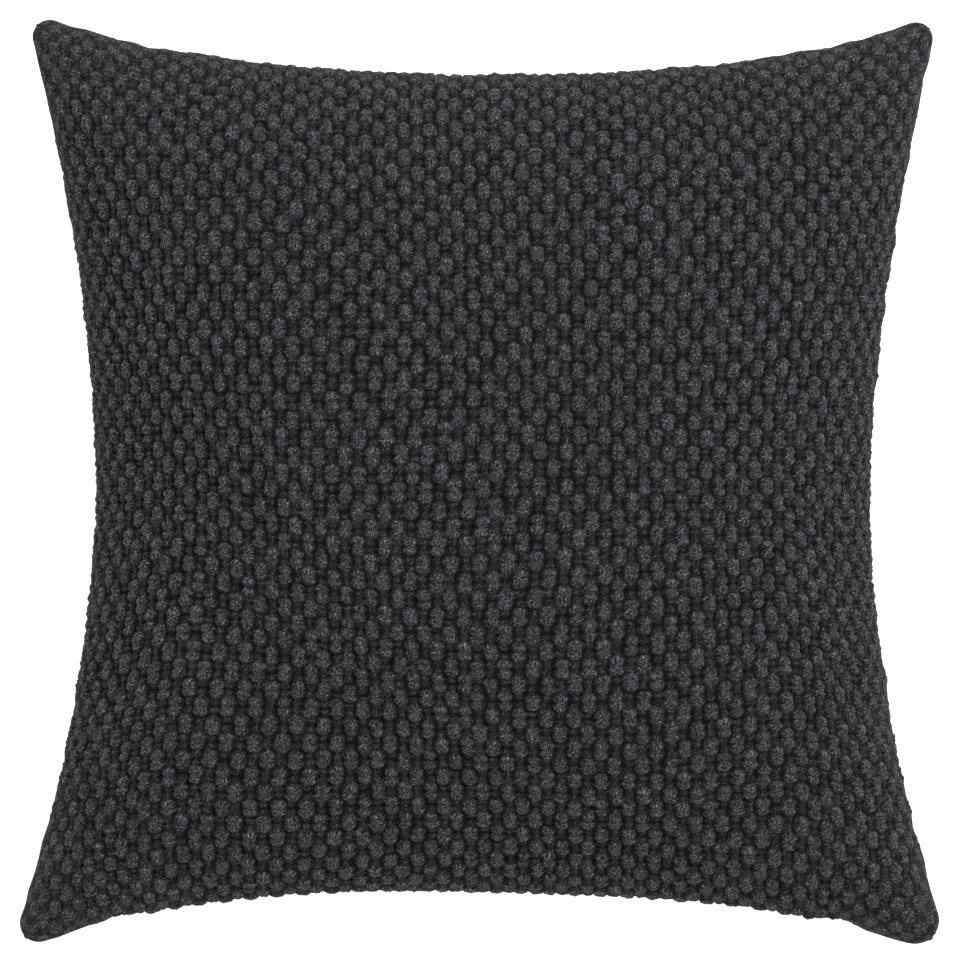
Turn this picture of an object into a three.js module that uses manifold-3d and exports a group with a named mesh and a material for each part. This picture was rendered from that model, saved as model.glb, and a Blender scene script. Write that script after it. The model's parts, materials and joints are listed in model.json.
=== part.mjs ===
// A square knife-edge throw pillow lying on its back: a zipped woven cover round a filled insert.
// Millimetres, +Z up. +X is the pillow's right and +Y its top edge when its front is faced.
// The origin is the centre of the flat patch that the back rests on.
import * as THREE from 'three';
import { mergeVertices } from 'three/addons/utils/BufferGeometryUtils.js';
import Module from 'manifold-3d';

const wasm = await Module();
wasm.setup();

// Outline of the cover, seen from the front: four corners, and edges that bow in between them.
const HALF_HEIGHT = 250;
const TOP_HALF_WIDTH = 245;
const BOTTOM_HALF_WIDTH = 250;
const BOW = { top: 29, bottom: 27, left: 37, right: 35 };

// Thickness: the seam's height over the surface, and how far each face domes away from it.
const SEAM_Z = 82;
const FRONT_RISE = 96;
const BACK_RISE = 96;
const CROWN_POWER = 2.85; // how flat the middle of a face is
const CROWN_SHAPE = 0.555; // how steeply a face leaves its edge

// Sewing of the cover.
const COVER_CLOTH = 2.4;
const COVER_HALF_GAP = 1;
const COVER_HEM = 9;
const ZIPPED_HEM = 0.6;
const CORNER_EXTRA = 5;
const THREAD_RADIUS = 0.4;
const THREAD_INSET = 6;
const THREAD_STEPS = 12;
const COVER_RINGS = 8;

// The insert, a second pillow inside the cover, and the fibre inside that.
const INSERT_INSET = 15;
const INSERT_CORNER_INSET = 6;
const INSERT_CLOTH = 0.8;
const INSERT_HALF_GAP = 0.6;
const INSERT_HEM = 8;
const INSERT_CLEARANCE = 1.5;
const INSERT_THREAD_RADIUS = 0.3;
const INSERT_THREAD_INSET = INSERT_INSET + 4;
const INSERT_RINGS = 7;
const FILL_INSET = 26;
const FILL_CORNER_INSET = 12;
const FILL_CLEARANCE = 4;
const FILL_HALF_RIM = 1;

// The zipper lies along the straight middle of the bottom seam, just inside it.
const ZIP_END = 0.45; // in the edge's running coordinate, from 0 at its middle to 1 at its corner
const SEAM_Y = -(HALF_HEIGHT - BOW.bottom);
const COIL_HALF_LENGTH = 150;
const TAPE_HALF_LENGTH = 158;
const TAPE = { near: 3.6, far: 6.8, low: 0.9, high: 13, cloth: 0.5 };
const COIL = { near: 4.8, far: 6.4, low: 0.7, high: 2.1, bevel: 0.4 };
const STOP = { length: 3, gap: 0.3, near: 4.9, far: 6.7, low: 0.5, high: 2.4 };
const SLIDER_X = 140;
const SLIDER = {
  length: 8,
  back: { near: 6.8, far: 7.8, half: 3.4 },
  jaw: { near: 5.2, far: 7, low: 2.5 },
  wedge: { near: -1.5, far: 7, half: 0.4, length: 5 },
  plate: { near: -2, far: -0.8, half: 2.6 },
};
const LOOP = { foot: -1.9, inner: 2, outer: 3.1, thickness: 1.2 };
const PIN_DEPTH = -3;
const PULL = {
  length: 24,
  halfWidth: 3,
  thickness: 1,
  bar: 1,
  shoulder: 0.6,
  tipRadius: 2,
  eyeLength: 4,
  eyeHalfWidth: 1.3,
};

// Labels, each as a folded strip: depth of its sewn root and of its bend in from the cover's edge,
// how far it stands over the seam at the bend, and the depth and height its free end slants to.
const LABEL_CLOTH = 0.4;
const CARE_LABEL = { width: 26, root: 7.6, bend: 12, rise: 16, endDepth: 32.8, endRise: 45.2 };
const INSERT_LABEL = { width: 34, root: 17.4, bend: 12.2, rise: 15, endDepth: 29.8, endRise: 41.2 };

const HALF_PI = Math.PI / 2;
const ZIPPED_U = Math.sin(ZIP_END * HALF_PI);
const BOTTOM_CURVE = 0.75;
const MIDDLE_HALF_WIDTH = (TOP_HALF_WIDTH + BOTTOM_HALF_WIDTH) / 2;

const fabric = (name, color) => new THREE.MeshStandardMaterial({ name, color, roughness: 0.95 });
const metal = (name, color) =>
  new THREE.MeshStandardMaterial({ name, color, roughness: 0.35, metalness: 1 });
const MATERIALS = {
  weave: fabric('charcoal_weave', 0x333236),
  thread: fabric('charcoal_thread', 0x2a2a2d),
  tape: fabric('zipper_tape', 0x29292c),
  coil: new THREE.MeshStandardMaterial({ name: 'nylon_coil', color: 0x232326, roughness: 0.5 }),
  steel: metal('dark_steel', 0x5a5a5e),
  cotton: fabric('white_cotton', 0xeceae4),
  cottonThread: fabric('white_thread', 0xf2f0ea),
  fibre: fabric('polyester_fibre', 0xf7f6f2),
  label: fabric('label_satin', 0xe6e4de),
};

const pillow = new THREE.Group();

function add(name, geometry, material) {
  const mesh = new THREE.Mesh(geometry, material);
  mesh.name = name;
  pillow.add(mesh);
  return mesh;
}

// The running coordinates s (left to right) and t (bottom to top) go from -1 to 1.
// Their sines give the plan, so that equal steps are nearly equal lengths over the dome.
function bottomBow(u) {
  const past = Math.max(0, Math.abs(u) - ZIPPED_U) / (1 - ZIPPED_U);
  return BOW.bottom * (1 - past ** BOTTOM_CURVE);
}

function plan(s, t, inset) {
  const u = Math.sin(s * HALF_PI);
  const v = Math.sin(t * HALF_PI);
  const halfWidth = THREE.MathUtils.lerp(BOTTOM_HALF_WIDTH, TOP_HALF_WIDTH, (v + 1) / 2);
  const sideBow = (u < 0 ? BOW.left : BOW.right) * (1 - v * v);
  const endBow = v < 0 ? bottomBow(u) : BOW.top * (1 - u * u);
  return [u * (halfWidth - sideBow - inset), v * (HALF_HEIGHT - endBow - inset)];
}

// 1 at the middle of a face and 0 all along its edge.
const fullness = (step) => 1 - Math.abs(Math.sin(step * HALF_PI)) ** CROWN_POWER;
const crown = (s, t) => (fullness(s) * fullness(t)) ** CROWN_SHAPE;

// Points round the edge, anticlockwise from the bottom left corner, with one at the zipper's end.
const spread = (from, to, count) =>
  Array.from({ length: count }, (_, k) => THREE.MathUtils.lerp(from, to, k / count));
const SIDE_STEPS = [...spread(-1, -ZIP_END, 4), ...spread(-ZIP_END, 0, 3)];
const HALF_SIDE = [...SIDE_STEPS, 0, ...SIDE_STEPS.slice(1).reverse().map((step) => -step)];
const EDGE = [
  ...HALF_SIDE.map((step) => ({ s: step, t: -1 })),
  ...HALF_SIDE.map((step) => ({ s: 1, t: step })),
  ...HALF_SIDE.map((step) => ({ s: -step, t: 1 })),
  ...HALF_SIDE.map((step) => ({ s: -1, t: -step })),
];
const isZipped = (edge) => edge.t === -1 && Math.abs(edge.s) <= ZIP_END;
const cornerness = (edge) => Math.abs(edge.s * edge.t) ** 3;

// One closed skin through a first pole, rings of points and a last pole.
function skin(firstPole, rings, lastPole, flip) {
  const count = EDGE.length;
  const positions = [...firstPole, ...rings.flat(2), ...lastPole];
  const last = rings.length * count + 1;
  const index = [];
  const triangle = (a, b, c) => index.push(...(flip ? [a, c, b] : [a, b, c]));
  for (let j = 0; j < count; j += 1) {
    const next = (j + 1) % count;
    triangle(0, 1 + j, 1 + next);
    for (let k = 1; k < rings.length; k += 1) {
      const inner = 1 + (k - 1) * count;
      const outer = 1 + k * count;
      triangle(inner + j, outer + j, outer + next);
      triangle(inner + j, outer + next, inner + next);
    }
    const final = 1 + (rings.length - 1) * count;
    triangle(final + next, final + j, last);
  }
  const geometry = new THREE.BufferGeometry();
  geometry.setAttribute('position', new THREE.Float32BufferAttribute(positions, 3));
  geometry.setIndex(index);
  geometry.computeVertexNormals();
  return geometry;
}

// One half of a pillow. base is its height over the seam plane at the edge, and a back half is
// mirrored downwards and flattened where it would pass below its floor.
function dome({ side, base, rise, floor, inset, cornerExtra, steps }) {
  const height = (s, t) => {
    const z = SEAM_Z + side * (base + rise * crown(s, t));
    return side < 0 ? Math.max(floor, z) : z;
  };
  const ring = (share) => EDGE.map((edge) => {
    const [s, t] = [edge.s * share, edge.t * share];
    return [...plan(s, t, inset + cornerExtra * cornerness(edge)), height(s, t)];
  });
  const rings = Array.from({ length: steps }, (_, k) => ring((k + 1) / steps));
  return { pole: [0, 0, height(0, 0)], rings };
}

// A sewn panel: cloth over one face, turned in at the edge as a flat seam allowance.
function panel({ side, inset, cornerInset, halfGap, cloth, rise, floor, hem, steps }) {
  const outer = dome({ side, base: halfGap, rise, floor, inset, cornerExtra: cornerInset, steps });
  const inner = dome({
    side,
    base: halfGap + cloth,
    rise: rise - 2 * cloth,
    floor: floor + cloth,
    inset: inset + cloth,
    cornerExtra: cornerInset + CORNER_EXTRA,
    steps,
  });
  const allowance = (z) => EDGE.map((edge) => {
    const depth = cloth + (cornerInset + CORNER_EXTRA) * cornerness(edge) + hem(edge);
    return [...plan(edge.s, edge.t, inset + depth), SEAM_Z + side * z];
  });
  const rings = [
    ...outer.rings,
    allowance(halfGap),
    allowance(halfGap + cloth),
    ...inner.rings.reverse(),
  ];
  return skin(outer.pole, rings, inner.pole, side < 0);
}

const coverPanel = (side, rise) => panel({
  side,
  inset: 0,
  cornerInset: 0,
  halfGap: COVER_HALF_GAP,
  cloth: COVER_CLOTH,
  rise,
  floor: 0,
  hem: (edge) => (isZipped(edge) ? ZIPPED_HEM : COVER_HEM),
  steps: COVER_RINGS,
});

// How much lower the insert domes than the cover over it.
const RISE_LOSS = COVER_CLOTH + INSERT_CLEARANCE + INSERT_HALF_GAP - COVER_HALF_GAP;
const insertPanel = (side, rise) => panel({
  side,
  inset: INSERT_INSET,
  cornerInset: INSERT_CORNER_INSET,
  halfGap: INSERT_HALF_GAP,
  cloth: INSERT_CLOTH,
  rise: rise - RISE_LOSS,
  floor: COVER_CLOTH + INSERT_CLEARANCE,
  hem: () => INSERT_HEM,
  steps: INSERT_RINGS,
});

// The fibre is one lump, with a short upright rim at the seam plane.
function fillLump() {
  const lift = RISE_LOSS + INSERT_CLOTH + FILL_CLEARANCE;
  const shape = {
    base: FILL_HALF_RIM,
    inset: FILL_INSET,
    cornerExtra: FILL_CORNER_INSET,
    steps: INSERT_RINGS,
  };
  const front = dome({ ...shape, side: 1, rise: FRONT_RISE - lift, floor: 0 });
  const floor = COVER_CLOTH + INSERT_CLEARANCE + INSERT_CLOTH + FILL_CLEARANCE;
  const back = dome({ ...shape, side: -1, rise: BACK_RISE - lift, floor });
  return skin(front.pole, [...front.rings, ...back.rings.reverse()], back.pole, false);
}

// A line of stitching through the points that (s, t) pairs give, in the seam plane.
function stitching(points, insetAt, radius, steps) {
  const route = points.map(([s, t]) =>
    new THREE.Vector3(...plan(s, t, insetAt({ s, t })), SEAM_Z));
  const section = new THREE.Shape().absarc(0, 0, radius, 0, 2 * Math.PI);
  return new THREE.ExtrudeGeometry(section, {
    extrudePath: new THREE.CatmullRomCurve3(route),
    steps,
    curveSegments: 3,
  });
}

// Points along one side, from one running coordinate to another.
function along(from, to, pointAt, count = 9) {
  return Array.from({ length: count }, (_, k) =>
    pointAt(THREE.MathUtils.lerp(from, to, k / (count - 1))));
}

const SIDE = {
  top: (step) => [step, 1],
  bottom: (step) => [step, -1],
  left: (step) => [-1, step],
  right: (step) => [1, step],
};
const SIDE_END = 0.9;
const ZIP_SEAM_END = ZIP_END + 0.05;

function coverThreads() {
  const runs = {
    seam_thread_top: along(-SIDE_END, SIDE_END, SIDE.top),
    seam_thread_left: along(-SIDE_END, SIDE_END, SIDE.left),
    seam_thread_right: along(-SIDE_END, SIDE_END, SIDE.right),
    seam_thread_bottom_left: along(-SIDE_END, -ZIP_SEAM_END, SIDE.bottom, 5),
    seam_thread_bottom_right: along(ZIP_SEAM_END, SIDE_END, SIDE.bottom, 5),
  };
  for (const [name, points] of Object.entries(runs)) {
    const thread = stitching(points, () => THREAD_INSET, THREAD_RADIUS, THREAD_STEPS);
    add(name, thread, MATERIALS.thread);
  }
}

// The insert is sewn round three sides, stuffed, and closed along the middle of the fourth.
function insertThreads() {
  const gap = 0.5;
  const turn = 0.96;
  const closed = gap - 0.04;
  const round = [
    ...along(-gap, -turn, SIDE.bottom, 4),
    ...along(-turn, turn, SIDE.left),
    ...along(-turn, turn, SIDE.top),
    ...along(turn, -turn, SIDE.right),
    ...along(turn, gap, SIDE.bottom, 4),
  ];
  const closing = along(-closed, closed, SIDE.bottom, 5);
  const inset = (edge) => INSERT_THREAD_INSET + INSERT_CORNER_INSET * cornerness(edge);
  const seam = stitching(round, inset, INSERT_THREAD_RADIUS, 5 * THREAD_STEPS);
  add('insert_seam_thread', seam, MATERIALS.cottonThread);
  const stitch = stitching(closing, inset, INSERT_THREAD_RADIUS, THREAD_STEPS);
  add('insert_closing_stitch', stitch, MATERIALS.cottonThread);
}

// A label on the left (-1) or right (1) seam: its side profile, widened along Y.
function label({ width, root, bend, rise, endDepth, endRise }, side) {
  const half = LABEL_CLOTH / 2;
  const lower = root < bend ? -half : half;
  const profile = [
    [root, lower],
    [bend + half, lower],
    [bend + half, rise],
    [endDepth + half, endRise - half],
    [endDepth - half, endRise + half],
    [bend - half, rise + half],
    [bend - half, -lower],
    [root, -lower],
  ];
  const edgeX = MIDDLE_HALF_WIDTH - (side < 0 ? BOW.left : BOW.right);
  const points = profile.map(([depth, lift]) => new THREE.Vector2(side * (edgeX - depth), lift));
  const outline = new THREE.Shape(points);
  const geometry = new THREE.ExtrudeGeometry(outline, { depth: width, bevelEnabled: false });
  geometry.translate(0, 0, -width / 2);
  geometry.rotateX(HALF_PI);
  geometry.translate(0, 0, SEAM_Z);
  return geometry;
}

// Along the zipper: depth runs inwards from the bottom seam, and lift up from the seam plane.
function alongZipper(section, length, middle = 0) {
  const outline = new THREE.Shape(section.map(([depth, lift]) => new THREE.Vector2(depth, lift)));
  const geometry = new THREE.ExtrudeGeometry(outline, { depth: length, bevelEnabled: false });
  geometry.translate(0, 0, -length / 2);
  geometry.rotateY(HALF_PI);
  geometry.rotateX(HALF_PI);
  geometry.translate(middle, SEAM_Y, SEAM_Z);
  return geometry;
}

const rectangle = (near, far, low, high) => [[near, low], [far, low], [far, high], [near, high]];
const STOP_X = COIL_HALF_LENGTH + STOP.gap + STOP.length / 2;

function zipperHalf(side, name) {
  const tape = [
    [TAPE.near, side * TAPE.low],
    [TAPE.near + TAPE.cloth, side * TAPE.low],
    [TAPE.far + TAPE.cloth, side * TAPE.high],
    [TAPE.far, side * TAPE.high],
  ];
  add(`zipper_tape_${name}`, alongZipper(tape, 2 * TAPE_HALF_LENGTH), MATERIALS.tape);
  const { bevel } = COIL;
  const coil = [
    [COIL.near, side * (COIL.low + bevel)],
    [COIL.near + bevel, side * COIL.low],
    [COIL.far - bevel, side * COIL.low],
    [COIL.far, side * (COIL.low + bevel)],
    [COIL.far, side * (COIL.high - bevel)],
    [COIL.far - bevel, side * COIL.high],
    [COIL.near + bevel, side * COIL.high],
    [COIL.near, side * (COIL.high - bevel)],
  ];
  add(`zipper_coil_${name}`, alongZipper(coil, 2 * COIL_HALF_LENGTH), MATERIALS.coil);
  const stop = rectangle(STOP.near, STOP.far, side * STOP.low, side * STOP.high);
  add(`zipper_top_stop_${name}`, alongZipper(stop, STOP.length, STOP_X), MATERIALS.steel);
}

// The bottom stop clamps the ends of both coils together.
function zipperBottomStop() {
  const section = rectangle(STOP.near, STOP.far, -STOP.high, STOP.high);
  add('zipper_bottom_stop', alongZipper(section, STOP.length, -STOP_X), MATERIALS.steel);
}

function toSolid(geometry) {
  const bare = geometry.clone();
  bare.deleteAttribute('normal');
  bare.deleteAttribute('uv');
  const merged = mergeVertices(bare);
  return new wasm.Manifold(new wasm.Mesh({
    numProp: 3,
    vertProperties: new Float32Array(merged.attributes.position.array),
    triVerts: new Uint32Array(merged.index.array),
  }));
}

function toGeometry(solid) {
  const mesh = solid.getMesh();
  const geometry = new THREE.BufferGeometry();
  geometry.setAttribute('position', new THREE.BufferAttribute(mesh.vertProperties, 3));
  geometry.setIndex(new THREE.BufferAttribute(mesh.triVerts, 1));
  geometry.computeVertexNormals();
  return geometry;
}

// The slider's loop for the pull, a half ring in the plane across the seam.
function sliderLoop() {
  const { foot, inner, outer, thickness } = LOOP;
  const arch = new THREE.Shape();
  arch.absarc(0, 0, outer, 0, Math.PI, false);
  arch.lineTo(-inner, 0);
  arch.absarc(0, 0, inner, Math.PI, 0, true);
  arch.lineTo(outer, 0);
  const geometry = new THREE.ExtrudeGeometry(arch, {
    depth: thickness,
    bevelEnabled: false,
    curveSegments: 10,
  });
  geometry.translate(0, 0, -thickness / 2);
  geometry.rotateX(Math.PI);
  geometry.translate(SLIDER_X, SEAM_Y + foot, SEAM_Z);
  return geometry;
}

// A channel round both coils, a wedge out between them, a front plate and the loop on it.
function zipperSlider() {
  const { length, back, jaw, wedge, plate } = SLIDER;
  const wall = ({ near, far }, low, high, extent = length) =>
    alongZipper(rectangle(near, far, low, high), extent, SLIDER_X);
  const pieces = [
    wall(back, -back.half, back.half),
    wall(jaw, jaw.low, back.half),
    wall(jaw, -back.half, -jaw.low),
    wall(wedge, -wedge.half, wedge.half, wedge.length),
    wall(plate, -plate.half, plate.half),
    sliderLoop(),
  ].map(toSolid);
  const joined = pieces.reduce((whole, piece) => whole.add(piece));
  add('zipper_slider', toGeometry(joined), MATERIALS.steel);
}

// The pull: a tapered tab with an eye, whose end bar turns inside the slider's loop.
function zipperPull() {
  const { length, halfWidth, thickness, bar, shoulder, tipRadius, eyeLength, eyeHalfWidth } = PULL;
  const outline = new THREE.Shape();
  outline.moveTo(bar / 2, shoulder - halfWidth);
  outline.lineTo(bar / 2, halfWidth - shoulder);
  outline.lineTo(-bar, halfWidth);
  outline.lineTo(-length + tipRadius, tipRadius);
  outline.absarc(-length + tipRadius, 0, tipRadius, HALF_PI, 3 * HALF_PI, false);
  outline.lineTo(-bar, -halfWidth);
  const eye = new THREE.Path();
  eye.moveTo(-bar / 2, -eyeHalfWidth);
  eye.lineTo(-bar / 2 - eyeLength, -eyeHalfWidth);
  eye.lineTo(-bar / 2 - eyeLength, eyeHalfWidth);
  eye.lineTo(-bar / 2, eyeHalfWidth);
  outline.holes.push(eye);
  const geometry = new THREE.ExtrudeGeometry(outline, {
    depth: thickness,
    bevelEnabled: false,
    curveSegments: 8,
  });
  geometry.translate(0, 0, -thickness / 2);
  geometry.rotateX(HALF_PI);
  geometry.translate(SLIDER_X, SEAM_Y + PIN_DEPTH, SEAM_Z);
  add('zipper_pull', geometry, MATERIALS.steel);
}

add('cover_front_panel', coverPanel(1, FRONT_RISE), MATERIALS.weave);
add('cover_back_panel', coverPanel(-1, BACK_RISE), MATERIALS.weave);
coverThreads();
add('care_label', label(CARE_LABEL, -1), MATERIALS.label);

zipperHalf(1, 'front');
zipperHalf(-1, 'back');
zipperBottomStop();
zipperSlider();
zipperPull();

add('insert_front_panel', insertPanel(1, FRONT_RISE), MATERIALS.cotton);
add('insert_back_panel', insertPanel(-1, BACK_RISE), MATERIALS.cotton);
insertThreads();
add('insert_label', label(INSERT_LABEL, 1), MATERIALS.label);
add('insert_fill', fillLump(), MATERIALS.fibre);

export default pillow;
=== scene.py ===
import json
import math

import bmesh
import bpy
import numpy as np
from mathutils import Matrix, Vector


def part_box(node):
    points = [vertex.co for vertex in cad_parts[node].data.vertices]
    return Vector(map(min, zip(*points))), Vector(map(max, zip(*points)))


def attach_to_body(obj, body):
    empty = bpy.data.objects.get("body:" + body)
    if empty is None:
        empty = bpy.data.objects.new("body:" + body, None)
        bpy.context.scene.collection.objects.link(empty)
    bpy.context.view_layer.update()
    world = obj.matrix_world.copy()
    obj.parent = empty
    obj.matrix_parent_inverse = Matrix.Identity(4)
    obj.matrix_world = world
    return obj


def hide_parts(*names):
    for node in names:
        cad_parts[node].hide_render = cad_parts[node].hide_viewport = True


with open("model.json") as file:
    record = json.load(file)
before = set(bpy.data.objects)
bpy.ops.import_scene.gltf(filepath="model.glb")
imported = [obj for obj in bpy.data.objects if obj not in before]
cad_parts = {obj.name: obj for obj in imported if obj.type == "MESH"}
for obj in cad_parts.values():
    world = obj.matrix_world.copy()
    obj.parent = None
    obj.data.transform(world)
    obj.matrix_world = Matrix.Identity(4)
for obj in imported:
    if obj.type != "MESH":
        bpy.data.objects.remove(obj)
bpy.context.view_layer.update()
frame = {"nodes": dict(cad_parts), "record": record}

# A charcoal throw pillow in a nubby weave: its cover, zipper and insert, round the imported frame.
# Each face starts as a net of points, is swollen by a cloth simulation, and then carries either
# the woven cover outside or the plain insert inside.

MM = 0.001
TINY = 1e-12
BODY = "pillow"
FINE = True

# Where each random draw starts from. A panel's fuzz has a draw of its own.
SEEDS = {
    "cover_front": 7,
    "cover_back": 8,
    "insert": 9,
    "fibre_top": 11,
    "fibre_bottom": 12,
    "ripple": 27,
}
FUZZ_SEED = 100

# ---- places taken from the frame ---------------------------------------------------------
FRONT_LOW, FRONT_HIGH = (np.array(corner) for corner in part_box("cover_front_panel"))
BACK_HIGH = np.array(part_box("cover_back_panel")[1])
COIL_HIGH = np.array(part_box("zipper_coil_front")[1])
SLIDE = next(joint for joint in frame["record"]["behaviour"]["joints"]
             if joint["name"] == "zipper_slide")
SEAM_Z = (FRONT_LOW[2] + BACK_HIGH[2]) / 2
SEAM_Y = SLIDE["pos_m"][1]
ZIP_HALF = COIL_HIGH[0] + 8 * MM
RISE = FRONT_HIGH[2] - SEAM_Z

# ---- the outline, as the front shows it ---------------------------------------------------
# Each edge is a corner line less a bow that is deepest at the middle. It may lean, sway to one
# side and the other, and flare at its corners. All in millimetres but the power.
LEFT = {"reach": 253.9, "bow": 44.1, "power": 1.8, "lean": -4.3, "sway": 1.2, "flare": -1.7}
RIGHT = {"reach": 259.1, "bow": 45.0, "power": 1.85, "lean": -3.1, "sway": 2.1, "flare": -5.2}
TOP = {"reach": 245.6, "bow": 23.2, "power": 1.95, "lean": -0.9, "sway": -0.5, "flare": 11.2}
BOTTOM = {"reach": 257.7, "bow": 33.6, "power": 2.8, "lean": 0.8, "sway": 0.9, "flare": 1.3}
FLARE_POWER = 5
HALF_SIDE = BOTTOM["reach"] * MM
CLOTH_SIDE = 500 * MM

# The radius of each corner's tip, by the first or last row and column of a face's grid. A
# corner's two edges are taken as straight over this part of a side.
CORNERS = {
    (0, 0): 10.5 * MM,
    (0, -1): 13 * MM,
    (-1, 0): 9.5 * MM,
    (-1, -1): 9.5 * MM,
}
STRAIGHT_PART = 1 / 24

# The bottom seam is straight along the zipper. Past the zipper's ends it comes back to the
# outline, between these two distances.
SEAM_RETURN = (0, 55 * MM)

# The stitches draw the seam in here and there. The ripple is gone this far up the face, and
# it fades out between these parts of the half side, so that the corners have none. Along the
# zipper there is none either, and it comes in between these distances past the zipper's ends.
RIPPLE = 0.5 * MM
RIPPLE_DEPTH = 14 * MM
RIPPLE_ENDS = (0.85, 0.95)
RIPPLE_PAST_ZIP = (-5 * MM, 15 * MM)

# ---- how each face domes: steep by the seam, and nearly flat in the middle ---------------
CROWN_POWER = 2.85
CROWN_SHAPE = 0.555
START_SHARE = 0.93
NET = 64
EVENING_ROUNDS = 12
SWELL = {
    "quality": 6,
    "mass": 0.3,
    "tension_stiffness": 30,
    "compression_stiffness": 30,
    "shear_stiffness": 12,
    "bending_stiffness": 4,
    "use_pressure": True,
    "uniform_pressure_force": 4,
}
SWELL_STEPS = 20
MOST_SWELL = 12 * MM

# The cloth over the zipper bulges past its straight seam, out to the outline: in full between
# the first two heights up the face, and not at all past the third. The least bulge that counts
# says which rows must stay inside the outline, and the last pair where it ends beside the zipper.
BULGE_FROM = 13 * MM
BULGE_TO = 16 * MM
BULGE_END = 80 * MM
LEAST_BULGE = 0.35
BULGE_PAST_ZIP = (20 * MM, 60 * MM)

# ---- the weave ------------------------------------------------------------------------------
COLUMNS = 73
ROWS = 58
PER_COLUMN = 6 if FINE else 3
PER_ROW = 8 if FINE else 4
NUB_HEIGHT = 3.6 * MM
NUB_SINK = 2.2 * MM
COVER_CLOTH = 2.2 * MM
YARN_FUZZ = 0.26 * MM

# How far a nub stands out from the smooth surface, which keeps that much inside the outline
# except at the corners' tips.
NUB_STAND = NUB_HEIGHT - NUB_SINK
TIP_POWER = 6

# Half width and half height of one lobe, in crossings, and how high it stands as a share of
# NUB_HEIGHT. The second number of a pair is added in full at the corners, where the weave
# closes up. The higher CORNER_POWER is, the closer this keeps to the corners.
NUB = {"half_width": (0.60, 0.12), "half_height": (0.37, 0.06), "top": (1.0, -0.12)}
KNOB = {"half_width": (0.38, 0), "half_height": (0.27, 0), "top": (0.53, -0.08)}
DOME_POWER = 0.55
CREASE_WIDTH = 0.25
CREASE_SHADE = 0.42
CORNER_POWER = 2.5

# Rows gather towards the corners, and all yarns wander a little.
CORNER_GATHER = 0.09
WANDER = 0.09
WANDER_TURNS = (0.05, 0.28)
WANDER_WAVES = 5

# ---- the cover's edge -------------------------------------------------------------------------
# The relief fades out at the very edge. Near a seam it is pressed towards one level, and near a
# corner it is lower. The painted shade in the gaps is less there too.
EDGE_FADE = (-0.5 * MM, 3 * MM)
EDGE_PRESS = 0.5
EDGE_LEVEL = 0.6
PRESS_WIDTHS = (6 * MM, 34 * MM)
CORNER_PRESS = 0.2
EDGE_COLOUR = 0.7
EDGE_COLOUR_WIDTH = 4 * MM
CORNER_COLOUR = 0.58
CORNER_COLOUR_SHARE = 0.45
FLOOR_GAP = 0.1 * MM

# The two faces' edges stand a little apart at the seam, and further along the zipper.
SEAM_GAP = 0.35 * MM
ZIP_GAP = 1.0 * MM
GAP_DEPTH = 6 * MM
GAP_PAST_ZIP = (-6 * MM, 10 * MM)

# The seam allowance, and how far out from the middle each ring of the inside is. The inside
# lies one lining's depth under the smooth surface, and near the seam this share of its height.
HEM = 8 * MM
ZIP_HEM = 1.5 * MM
HEM_CLOTH = 1.0 * MM
LINING_SHARES = (0.95, 0.88, 0.78, 0.62, 0.42, 0.2)
LINING = NUB_SINK + COVER_CLOTH
LINING_MOST = 0.4

# ---- the insert, the trim inside and the stitching -----------------------------------------------
INSERT_INSET = 0.034
INSERT_CLOTH = 0.7 * MM
INSERT_CLEARANCE = 1.2 * MM
INSERT_SHOULDER = 55 * MM
INSERT_RIM = 0.9 * MM
INSERT_WRINKLE = 0.8 * MM
INSERT_THINNING = 25 * MM
FILL_INSET = 0.06
FILL_CLEARANCE = 3 * MM
FILL_RIM = 1.5 * MM
FILL_WRINKLE = 1.6 * MM
INNER_STEPS = 120
FOLDS = 14
FOLD_TURNS = 34
LABEL_CLOTH = 0.35 * MM
THREAD = 0.32 * MM
THREAD_TWIST = 3 * MM

# How far inside the outline each seam's stitches lie, and where they end, as parts of the half
# side. The bottom seam of the cover has none along the zipper.
COVER_SEAM = 5 * MM
COVER_END = 0.94
ZIP_END = (ZIP_HALF + 12 * MM) / HALF_SIDE
INSERT_SEAM = 21 * MM
INSERT_END = 0.88
INSERT_BOTTOM_END = 0.86
OPENING_END = 0.42
CLOSING_END = 0.4


# ---- outline and smooth surface --------------------------------------------------------------
def edge_line(edge, along):
    """How far an edge stands from the middle, along it from -1 to 1."""
    bow = edge["bow"] * (1 - np.abs(along) ** edge["power"])
    flare = edge["flare"] * np.abs(along) ** FLARE_POWER
    drift = edge["lean"] * along + edge["sway"] * np.sin(math.pi * along)
    return (edge["reach"] - bow + flare + drift) * MM


def smooth(x, low, high):
    """Eases from 0 at low to 1 at high."""
    f = np.clip((x - low) / (high - low), 0, 1)
    return f * f * (3 - 2 * f)


def past_zip(x, start, end):
    """0 along the zipper, easing to 1 between two distances past its ends."""
    return smooth(np.abs(x), ZIP_HALF + start, ZIP_HALF + end)


def seam_y(u):
    """The bottom seam: straight along the zipper, and on the outline towards the corners."""
    away = past_zip(u * HALF_SIDE, *SEAM_RETURN)
    return -SEAM_Y * (1 - away) + edge_line(BOTTOM, u) * away


def plan(u, v):
    """Where the point (u, v) of the square from -1 to 1 lies in plan, nubs not counted."""
    end_x = np.where(u < 0, edge_line(LEFT, v), edge_line(RIGHT, v))
    end_x = end_x - NUB_STAND * (1 - np.abs(v) ** TIP_POWER)
    top = edge_line(TOP, u) - NUB_STAND * (1 - np.abs(u) ** TIP_POWER)
    end_y = np.where(v < 0, seam_y(u), top)
    return u * end_x, v * end_y


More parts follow.
